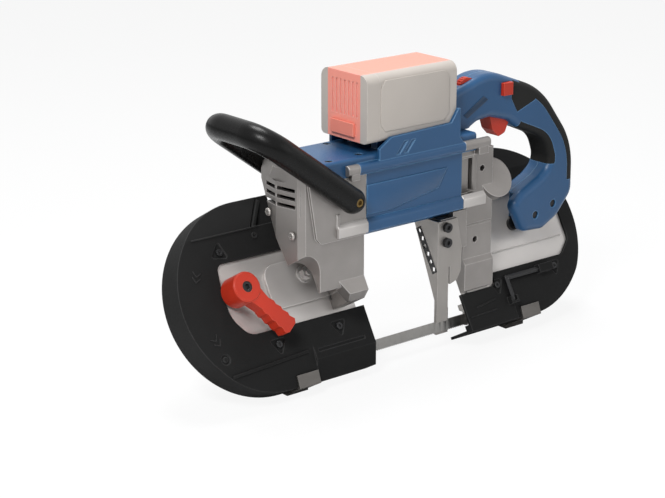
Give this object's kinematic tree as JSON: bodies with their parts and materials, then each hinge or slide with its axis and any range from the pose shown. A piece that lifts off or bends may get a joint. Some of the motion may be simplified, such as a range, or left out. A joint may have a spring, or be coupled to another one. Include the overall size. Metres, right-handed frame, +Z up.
{
  "type": "portable band saw",
  "caption": "Cordless portable band saw: blade loop on leaning wheels, motor body over the throat, guards, bail and rear grip, lever-tensioned idler, sliding battery.",
  "frame": {"origin": "middle of the bounding box, at its lowest face", "axes": "+X along the saw from the idler wheel to the drive wheel, +Y away from the side the tension lever is on, +Z up"},
  "size_m": [0.5162, 0.1424, 0.309],
  "materials": {
    "guard_plastic": "moulded, fine grain",
    "bail_plastic": "moulded, satin",
    "soft_rubber": "soft, matt",
    "tyre_rubber": "matt",
    "blue_plastic": "moulded, satin",
    "red_plastic": "moulded, satin",
    "battery_red": "moulded, satin",
    "battery_grey": "moulded, satin",
    "cast_aluminium": "die cast, matt",
    "deck_steel": "plated sheet",
    "zinc_steel": "zinc plated",
    "blade_steel": "bare strip steel",
    "gear_steel": "machined",
    "black_steel": "black oxide",
    "brass_plate": "yellow zinc plated",
    "lamination": "lacquered sheet pack",
    "fan_plastic": "moulded",
    "board_green": "lacquered board",
    "cell_wrap": "shrink wrap"
  },
  "bodies": {
    "frame": {"main_frame": "deck_steel", "front_guard": "guard_plastic", "rear_guard": "guard_plastic", "guard_screws": "black_steel", "support_shoes": "zinc_steel", "hex_key": "black_steel", "blade": "blade_steel", "stator": "lamination", "shaft_bearings": "zinc_steel", "shaft_screw": "black_steel", "motor_head": "cast_aluminium", "head_screws": "zinc_steel", "gear_case": "cast_aluminium", "housing_front": "blue_plastic", "housing_rear": "blue_plastic", "top_cover": "blue_plastic", "cover_screws": "zinc_steel", "control_board": "board_green", "terminal_block": "fan_plastic", "handle_left": "blue_plastic", "handle_right": "blue_plastic", "soft_grip": "soft_rubber", "handle_bolts": "black_steel", "switch_module": "fan_plastic", "front_bail": "bail_plastic", "bail_bolts": "brass_plate", "front_guide": "zinc_steel", "rear_guide": "zinc_steel", "work_stop": "zinc_steel", "stop_bolts": "black_steel"},
    "lever": {"tension_lever": "red_plastic", "lever_screw": "black_steel", "lever_cam": "zinc_steel"},
    "carriage": {"tension_carriage": "deck_steel", "idler_axle": "zinc_steel", "tracking_bolt": "zinc_steel"},
    "idler": {"idler_wheel": "cast_aluminium", "idler_tyre": "tyre_rubber", "idler_bearings": "zinc_steel"},
    "drive": {"drive_wheel": "cast_aluminium", "drive_tyre": "tyre_rubber", "drive_shaft": "zinc_steel", "drive_gear": "gear_steel"},
    "intermediate": {"layshaft": "gear_steel", "bevel_gear": "gear_steel"},
    "motor": {"rotor": "gear_steel", "cooling_fan": "fan_plastic", "bevel_pinion": "gear_steel"},
    "trigger_body": {"trigger": "red_plastic"},
    "lock_body": {"lock_button": "red_plastic"},
    "dial_body": {"speed_dial": "red_plastic"},
    "battery": {"battery_case": "battery_grey", "battery_cap": "battery_red", "battery_cells": "cell_wrap"},
    "release": {"battery_button": "red_plastic"},
    "guide_roller_a": {"front_roller_near": "zinc_steel"},
    "guide_roller_b": {"front_roller_far": "zinc_steel"},
    "guide_roller_c": {"rear_roller_near": "zinc_steel"},
    "guide_roller_d": {"rear_roller_far": "zinc_steel"}
  },
  "joints": [
    {"name": "drive_spin", "type": "hinge", "parent": "frame", "child": "drive", "pos_m": [0.16459, 0.01305, 0.09149], "axis": [0, -0.866, 0.5], "continuous": true},
    {"name": "tension_slide", "type": "slide", "parent": "frame", "child": "carriage", "axis": [1, 0, 0], "range_m": [0, 0.008]},
    {"name": "idler_spin", "type": "hinge", "parent": "carriage", "child": "idler", "pos_m": [-0.16249, 0.01305, 0.09149], "axis": [0, -0.866, 0.5], "continuous": true},
    {"name": "lever_turn", "type": "hinge", "parent": "frame", "child": "lever", "pos_m": [-0.19649, 0.00346, 0.10589], "axis": [0, -0.866, 0.5], "range_deg": [0, 180]},
    {"name": "intermediate_spin", "type": "hinge", "parent": "frame", "child": "intermediate", "pos_m": [0.11575, 0.01907, 0.14592], "axis": [0, -0.866, 0.5], "continuous": true},
    {"name": "motor_spin", "type": "hinge", "parent": "frame", "child": "motor", "pos_m": [-0.05049, -0.02094, 0.16903], "axis": [1, 0, 0], "continuous": true},
    {"name": "trigger_pull", "type": "slide", "parent": "frame", "child": "trigger_body", "axis": [0.5, 0, 0.866], "range_m": [0, 0.005], "stiffness_N_per_m": 900},
    {"name": "lock_push", "type": "slide", "parent": "frame", "child": "lock_body", "axis": [0, 1, 0], "range_m": [0, 0.004], "stiffness_N_per_m": 600},
    {"name": "dial_turn", "type": "hinge", "parent": "frame", "child": "dial_body", "pos_m": [0.07851, -0.02594, 0.27153], "axis": [0, 1, 0], "range_deg": [0, 240]},
    {"name": "battery_slide", "type": "slide", "parent": "frame", "child": "battery", "axis": [-1, 0, 0], "range_m": [0, 0.045]},
    {"name": "release_press", "type": "slide", "parent": "battery", "child": "release", "axis": [1, 0, 0], "range_m": [0, 0.004], "stiffness_N_per_m": 700},
    {"name": "roller_spin_a", "type": "hinge", "parent": "frame", "child": "guide_roller_a", "pos_m": [-0.06349, -0.03397, 0.02703], "axis": [0, 0, 1], "continuous": true},
    {"name": "roller_spin_b", "type": "hinge", "parent": "frame", "child": "guide_roller_b", "pos_m": [-0.06349, -0.02592, 0.02703], "axis": [0, 0, 1], "continuous": true},
    {"name": "roller_spin_c", "type": "hinge", "parent": "frame", "child": "guide_roller_c", "pos_m": [0.08351, -0.03397, 0.02703], "axis": [0, 0, 1], "continuous": true},
    {"name": "roller_spin_d", "type": "hinge", "parent": "frame", "child": "guide_roller_d", "pos_m": [0.08351, -0.02592, 0.02703], "axis": [0, 0, 1], "continuous": true}
  ],
  "couplings": [
    {"joint": "idler_spin", "follows": "drive_spin", "ratio": 1},
    {"joint": "intermediate_spin", "follows": "drive_spin", "ratio": -4},
    {"joint": "motor_spin", "follows": "drive_spin", "ratio": 8},
    {"joint": "lever_turn", "follows": "tension_slide", "rad_per_m": 392.7},
    {"joint": "roller_spin_a", "follows": "drive_spin", "ratio": -22.647},
    {"joint": "roller_spin_b", "follows": "drive_spin", "ratio": 22.647},
    {"joint": "roller_spin_c", "follows": "drive_spin", "ratio": -22.647},
    {"joint": "roller_spin_d", "follows": "drive_spin", "ratio": 22.647}
  ]
}
